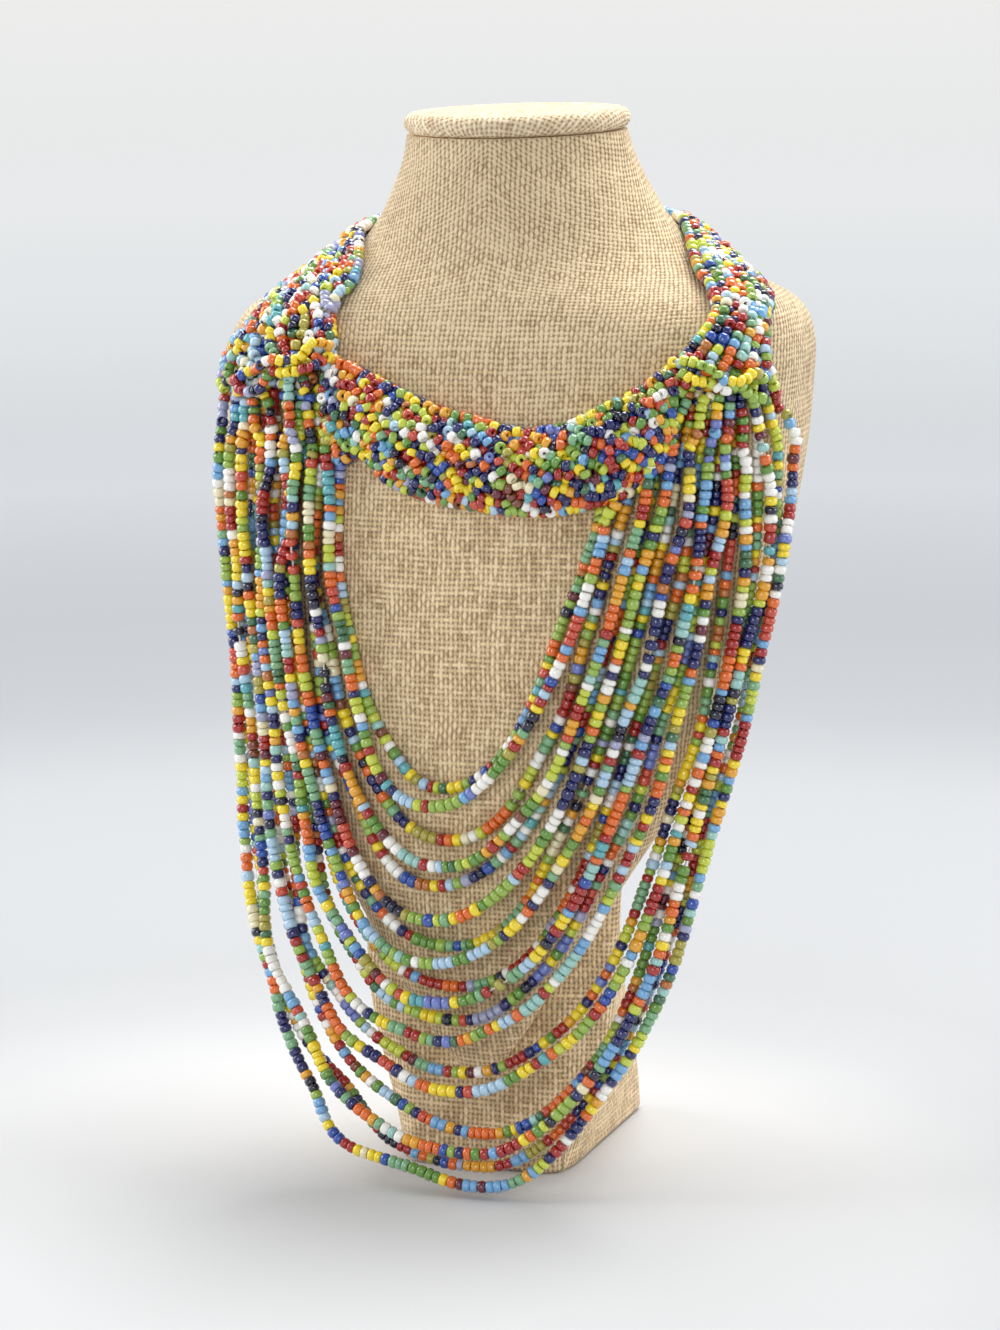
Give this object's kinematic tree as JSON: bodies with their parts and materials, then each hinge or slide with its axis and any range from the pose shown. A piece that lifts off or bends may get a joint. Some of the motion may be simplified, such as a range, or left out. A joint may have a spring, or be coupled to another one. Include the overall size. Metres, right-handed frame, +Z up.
{
  "type": "beaded choker on a neck bust",
  "caption": "Beaded choker with a twisted collar band and long nested drapes of small glass beads, held on a cloth-covered neck bust with a padded cap and a block foot.",
  "frame": {"origin": "centre of the foot's underside, on the surface that the bust stands on", "axes": "+Z up along the neck, -Y the front that the drapes hang on, +X the right side seen from the front"},
  "size_m": [0.1944, 0.1273, 0.3337],
  "materials": {
    "bust_cloth": "matte",
    "cap_cloth": "matte",
    "glass_beads": "gloss",
    "clasp_metal": "satin"
  },
  "bodies": {
    "root": {"bust_body": "bust_cloth", "bust_cap": "cap_cloth", "bust_foot": "bust_cloth", "collar_band": "glass_beads", "shoulder_left": "glass_beads", "shoulder_right": "glass_beads", "wrap_left": "glass_beads", "wrap_right": "glass_beads", "nape_left": "glass_beads", "nape_right": "glass_beads", "clasp": "clasp_metal", "strand_01": "glass_beads", "strand_02": "glass_beads", "strand_03": "glass_beads", "strand_04": "glass_beads", "strand_05": "glass_beads", "strand_06": "glass_beads", "strand_07": "glass_beads", "strand_08": "glass_beads", "strand_09": "glass_beads", "strand_10": "glass_beads", "strand_11": "glass_beads", "strand_12": "glass_beads", "strand_13": "glass_beads", "strand_14": "glass_beads", "strand_15": "glass_beads", "strand_16": "glass_beads", "strand_17": "glass_beads", "strand_18": "glass_beads"}
  },
  "joints": []
}
